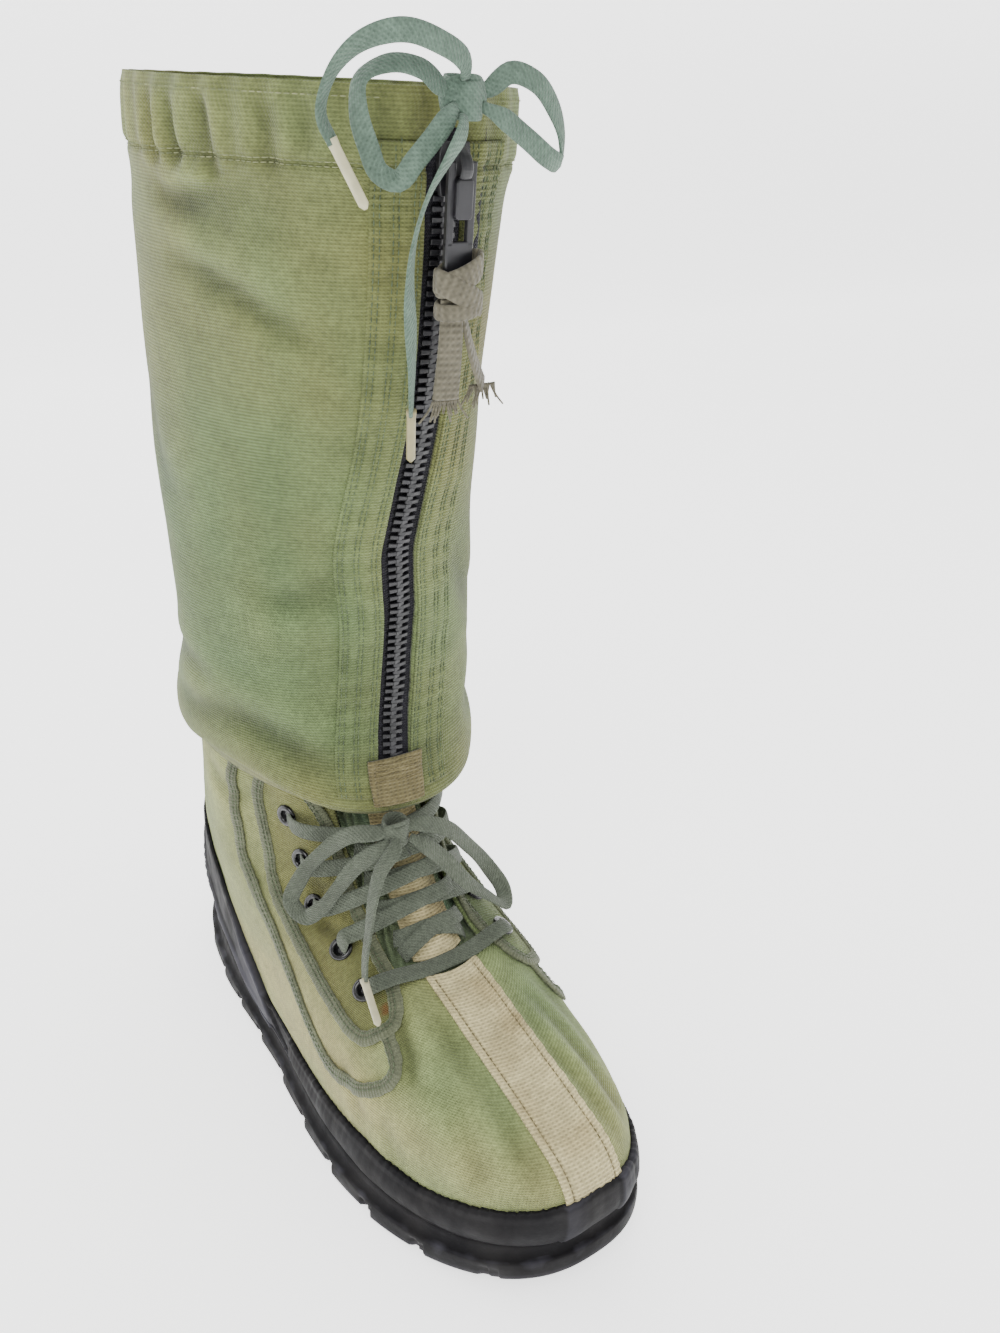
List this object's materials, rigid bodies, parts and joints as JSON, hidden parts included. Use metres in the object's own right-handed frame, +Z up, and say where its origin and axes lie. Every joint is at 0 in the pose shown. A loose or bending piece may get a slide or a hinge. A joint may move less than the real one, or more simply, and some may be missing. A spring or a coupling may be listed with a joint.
{
  "type": "cold-weather boot",
  "caption": "Tall canvas cold-weather boot for the right foot, with a laced foot, a slack zipped shaft with a drawstring hem, and a black lugged rubber sole.",
  "frame": {"origin": "centre of the boot's outline, on the plane its sole stands on", "axes": "+Z up the shaft, -Y towards the toe, -X towards the outer side of the foot"},
  "size_m": [0.1288, 0.3231, 0.4472],
  "materials": {
    "canvas": "plain-woven cotton duck, washed and faded",
    "rubber": "moulded, dull and dusty",
    "webbing": "folded cotton tape",
    "binding": "folded cotton tape",
    "lace": "flat braided cotton",
    "drawstring": "flat braided nylon",
    "aglet": "moulded tip",
    "eyelet_metal": "black enamel",
    "zip_plastic": "moulded",
    "zip_tape": "woven tape",
    "cotton_tape": "twill tape",
    "felt": "pressed wool felt"
  },
  "bodies": {
    "boot": {"binding_lateral": "binding", "binding_medial": "binding", "collar_label": "cotton_tape", "cord_aglet_lateral": "aglet", "cord_aglet_medial": "aglet", "cord_end_lateral": "drawstring", "cord_end_medial": "drawstring", "cord_knot": "drawstring", "cord_loop_lateral": "drawstring", "cord_loop_medial": "drawstring", "eyelet_lateral_1": "eyelet_metal", "eyelet_lateral_2": "eyelet_metal", "eyelet_lateral_3": "eyelet_metal", "eyelet_lateral_4": "eyelet_metal", "eyelet_lateral_5": "eyelet_metal", "eyelet_medial_1": "eyelet_metal", "eyelet_medial_2": "eyelet_metal", "eyelet_medial_3": "eyelet_metal", "eyelet_medial_4": "eyelet_metal", "eyelet_medial_5": "eyelet_metal", "eyestay_lateral": "canvas", "eyestay_medial": "canvas", "facing_lateral": "canvas", "facing_medial": "canvas", "insole": "felt", "lace_aglet_lateral": "aglet", "lace_bar_low": "lace", "lace_bar_top": "lace", "lace_cross_1": "lace", "lace_cross_2": "lace", "lace_cross_3": "lace", "lace_cross_4": "lace", "lace_end_lateral": "lace", "lace_knot": "lace", "lace_loop_lateral": "lace", "lace_loop_medial": "lace", "outsole": "rubber", "rand": "rubber", "shaft": "canvas", "toe_strip": "webbing", "tongue": "canvas", "tongue_strip": "webbing", "upper": "canvas", "zip_chain": "zip_plastic", "zip_patch": "webbing", "zip_slider": "zip_plastic", "zip_tape": "zip_tape"},
    "zip_pull": {"zip_tab": "zip_plastic", "pull_tape": "cotton_tape"}
  },
  "joints": [
    {"name": "zip_pull_hinge", "type": "hinge", "parent": "boot", "child": "zip_pull", "pos_m": [0.00458, -0.06087, 0.40788], "axis": [-1, 0, 0], "range_deg": [0, 95]}
  ]
}
